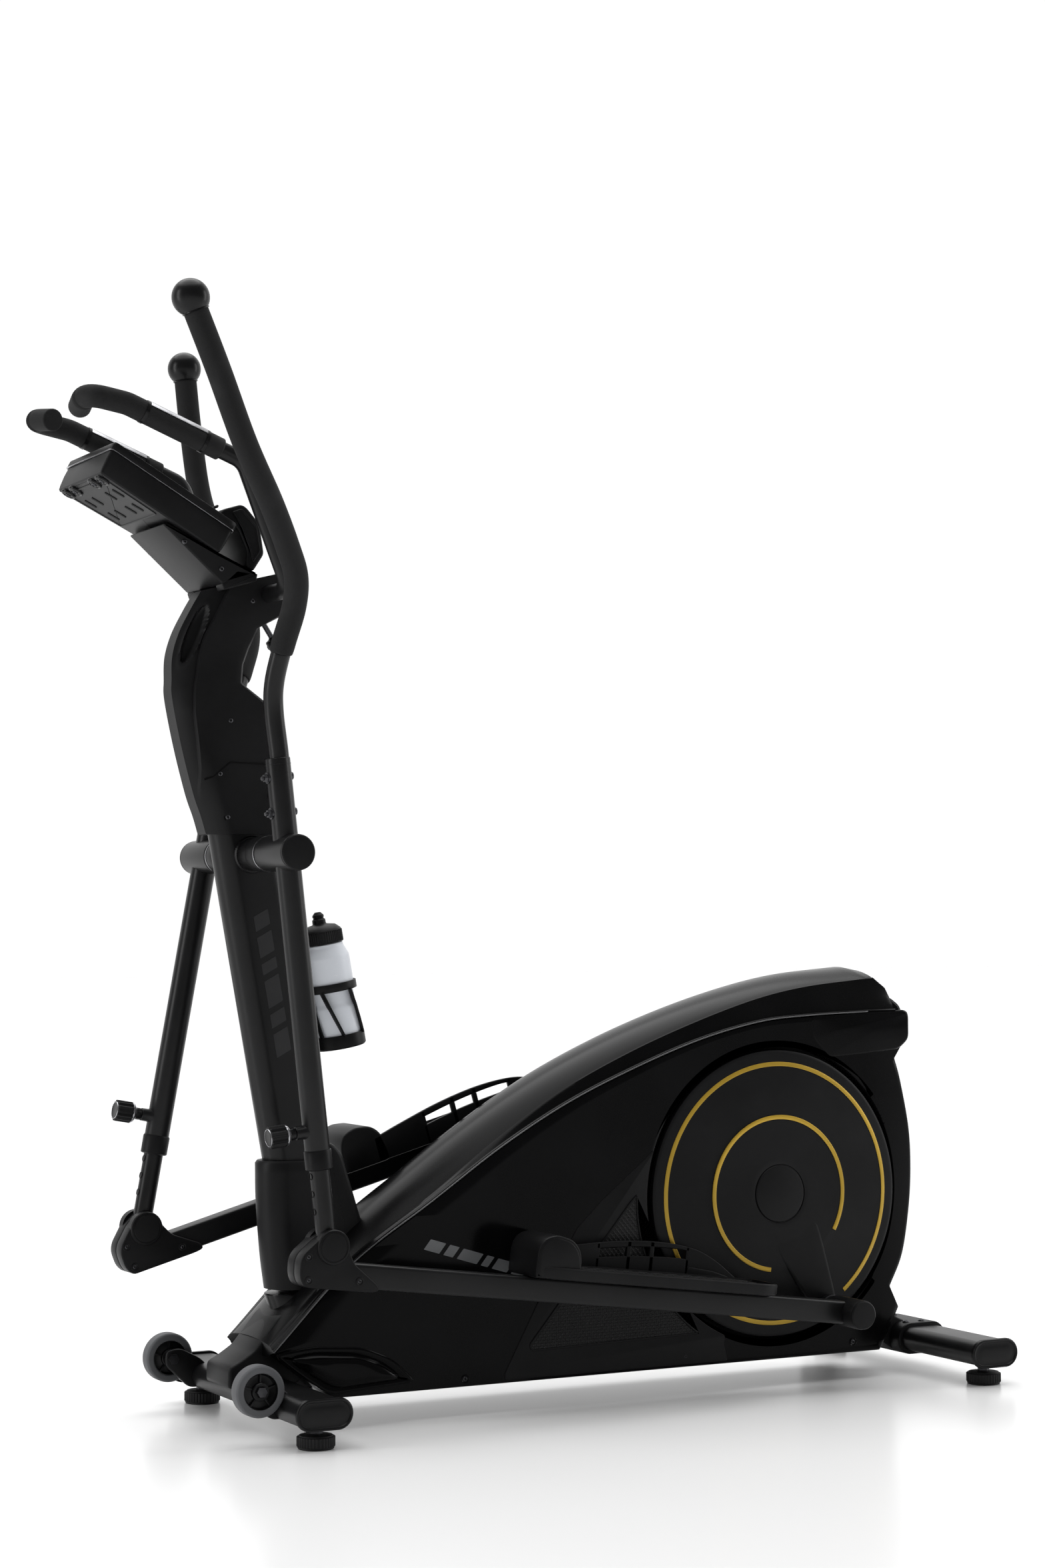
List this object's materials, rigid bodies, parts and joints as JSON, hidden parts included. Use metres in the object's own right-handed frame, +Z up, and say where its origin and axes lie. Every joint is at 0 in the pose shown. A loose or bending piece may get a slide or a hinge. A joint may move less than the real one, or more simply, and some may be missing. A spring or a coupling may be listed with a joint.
{
  "type": "elliptical trainer",
  "caption": "Rear-crank elliptical trainer: leaning post with swinging arms, telescopic legs, pedal bars, enclosed crank and flywheel, console and fixed handlebar.",
  "frame": {"origin": "on the floor below the middle of the machine", "axes": "+X runs from the console towards the rear crank, +Y to the right of a person who faces the console, +Z up"},
  "size_m": [1.4963, 0.6538, 1.6108],
  "materials": {
    "painted_tube": "fine satin powder coat",
    "gloss_panel": "high gloss black",
    "satin_panel": "satin moulded plastic",
    "grille": "perforated dark plastic",
    "disc": "satin disc plastic",
    "trim": "satin gold line",
    "foam": "fine grained foam",
    "pedal": "moulded pedal with studs",
    "foot": "ribbed foot",
    "wheel": "grey tyre ring on a dark hub",
    "steel": "turned steel",
    "iron": "machined casting",
    "pulley": "ribbed moulding",
    "belt": "ribbed belt",
    "keys": "soft keys",
    "bottle_shell": "milky translucent plastic",
    "bottle_top": "ribbed cap"
  },
  "bodies": {
    "frame": {"main_frame": "painted_tube", "front_stabiliser": "painted_tube", "rear_stabiliser": "painted_tube", "stabiliser_caps": "satin_panel", "mast_post": "painted_tube", "mast_sleeve": "satin_panel", "mast_base_cover": "satin_panel", "shroud_left": "gloss_panel", "shroud_right": "gloss_panel", "shroud_crown": "satin_panel", "vent_grilles": "grille", "mast_head_left": "satin_panel", "mast_head_right": "satin_panel", "console_neck": "satin_panel", "console_back": "satin_panel", "console_bezel": "satin_panel", "tablet_holder": "satin_panel", "fixed_handlebar": "painted_tube", "handlebar_grips": "foam", "pulse_sensors": "steel", "pivot_axle": "steel", "bottle_cage": "satin_panel", "crank_bearings": "steel", "drive_belt": "belt"},
    "crank": {"crank_axle": "steel", "drive_pulley": "pulley", "crank_disc_left": "disc", "crank_disc_right": "disc", "crank_arms": "painted_tube", "disc_trim": "trim"},
    "flywheel": {"flywheel": "iron"},
    "magnet_bracket": {"magnet_bracket": "steel"},
    "clamp_knob": {"clamp_knob": "satin_panel"},
    "bottle": {"bottle_body": "bottle_shell", "bottle_cap": "bottle_top"},
    "key_mode": {"key_mode": "keys"},
    "key_up": {"key_up": "keys"},
    "key_down": {"key_down": "keys"},
    "wheel_left": {"transport_wheel_left": "wheel"},
    "wheel_right": {"transport_wheel_right": "wheel"},
    "foot_front_left": {"foot_front_left": "foot"},
    "foot_front_right": {"foot_front_right": "foot"},
    "foot_rear_left": {"foot_rear_left": "foot"},
    "foot_rear_right": {"foot_rear_right": "foot"},
    "arm_left": {"arm_left": "painted_tube", "handle_left": "painted_tube", "grip_left": "foam"},
    "leg_left": {"leg_left": "painted_tube"},
    "pull_knob_left": {"pull_knob_left": "satin_panel"},
    "bar_left": {"pedal_bar_left": "painted_tube", "knuckle_left": "satin_panel", "pedal_left": "pedal"},
    "arm_right": {"arm_right": "painted_tube", "handle_right": "painted_tube", "grip_right": "foam"},
    "leg_right": {"leg_right": "painted_tube"},
    "pull_knob_right": {"pull_knob_right": "satin_panel"},
    "bar_right": {"pedal_bar_right": "painted_tube", "knuckle_right": "satin_panel", "pedal_right": "pedal"}
  },
  "joints": [
    {"name": "crank_spin", "type": "hinge", "parent": "frame", "child": "crank", "pos_m": [0.40392, 0, 0.299], "axis": [0, -1, 0], "continuous": true},
    {"name": "flywheel_spin", "type": "hinge", "parent": "frame", "child": "flywheel", "pos_m": [0.10892, 0, 0.215], "axis": [0, -1, 0], "continuous": true},
    {"name": "magnet_swing", "type": "hinge", "parent": "frame", "child": "magnet_bracket", "pos_m": [0.04892, 0, 0.365], "axis": [0, -1, 0], "range_deg": [-5, 1.5]},
    {"name": "arm_swing_left", "type": "hinge", "parent": "frame", "child": "arm_left", "pos_m": [-0.45028, -0.1553, 0.8198], "axis": [0, -1, 0], "range_deg": [-27.6, 10.7]},
    {"name": "leg_length_left", "type": "slide", "parent": "arm_left", "child": "leg_left", "axis": [0.1109, 0, -0.9938], "range_m": [-0.025, 0.025]},
    {"name": "pin_pull_left", "type": "slide", "parent": "arm_left", "child": "pull_knob_left", "axis": [-0.9938, 0, -0.1109], "range_m": [0, 0.008], "stiffness_N_per_m": 500, "springref_m": -0.004},
    {"name": "knee_left", "type": "hinge", "parent": "leg_left", "child": "bar_left", "pos_m": [-0.38873, -0.1553, 0.26822], "axis": [0, -1, 0], "range_deg": [-10.7, 27.6]},
    {"name": "arm_swing_right", "type": "hinge", "parent": "frame", "child": "arm_right", "pos_m": [-0.45028, 0.1553, 0.8198], "axis": [0, -1, 0], "range_deg": [-10.7, 27.6]},
    {"name": "leg_length_right", "type": "slide", "parent": "arm_right", "child": "leg_right", "axis": [-0.1817, 0, -0.9834], "range_m": [-0.025, 0.025]},
    {"name": "pin_pull_right", "type": "slide", "parent": "arm_right", "child": "pull_knob_right", "axis": [-0.9834, 0, 0.1817], "range_m": [0, 0.008], "stiffness_N_per_m": 500, "springref_m": -0.004},
    {"name": "knee_right", "type": "hinge", "parent": "leg_right", "child": "bar_right", "pos_m": [-0.55112, 0.1553, 0.27404], "axis": [0, -1, 0], "range_deg": [-27.6, 10.7]},
    {"name": "level_front_left", "type": "hinge", "parent": "frame", "child": "foot_front_left", "pos_m": [-0.43108, -0.213, 0], "axis": [0, 0, 1], "range_deg": [-180, 180]},
    {"name": "level_front_right", "type": "hinge", "parent": "frame", "child": "foot_front_right", "pos_m": [-0.43108, 0.213, 0], "axis": [0, 0, 1], "range_deg": [-180, 180]},
    {"name": "level_rear_left", "type": "hinge", "parent": "frame", "child": "foot_rear_left", "pos_m": [0.70392, -0.213, 0], "axis": [0, 0, 1], "range_deg": [-180, 180]},
    {"name": "level_rear_right", "type": "hinge", "parent": "frame", "child": "foot_rear_right", "pos_m": [0.70392, 0.213, 0], "axis": [0, 0, 1], "range_deg": [-180, 180]},
    {"name": "roll_left", "type": "hinge", "parent": "frame", "child": "wheel_left", "pos_m": [-0.50128, -0.175, 0.078], "axis": [0, 1, 0], "continuous": true},
    {"name": "roll_right", "type": "hinge", "parent": "frame", "child": "wheel_right", "pos_m": [-0.50128, 0.175, 0.078], "axis": [0, 1, 0], "continuous": true},
    {"name": "clamp_turn", "type": "hinge", "parent": "frame", "child": "clamp_knob", "pos_m": [-0.40708, 0, 1.136], "axis": [-0.5501, 0, 0.8351], "range_deg": [-90, 90]},
    {"name": "bottle_lift", "type": "slide", "parent": "frame", "child": "bottle", "axis": [-0.1788, 0, 0.9839], "range_m": [0, 0.12]},
    {"name": "press_mode", "type": "slide", "parent": "frame", "child": "key_mode", "axis": [-0.4695, 0, -0.8829], "range_m": [0, 0.002], "stiffness_N_per_m": 300, "springref_m": -0.001},
    {"name": "press_up", "type": "slide", "parent": "frame", "child": "key_up", "axis": [-0.4695, 0, -0.8829], "range_m": [0, 0.002], "stiffness_N_per_m": 300, "springref_m": -0.001},
    {"name": "press_down", "type": "slide", "parent": "frame", "child": "key_down", "axis": [-0.4695, 0, -0.8829], "range_m": [0, 0.002], "stiffness_N_per_m": 300, "springref_m": -0.001}
  ],
  "couplings": [
    {"joint": "flywheel_spin", "follows": "crank_spin", "ratio": 7.3529},
    {"joint": "arm_swing_right", "follows": "arm_swing_left", "ratio": -1},
    {"joint": "knee_left", "follows": "arm_swing_left", "ratio": -1},
    {"joint": "knee_right", "follows": "arm_swing_left", "ratio": 1}
  ]
}
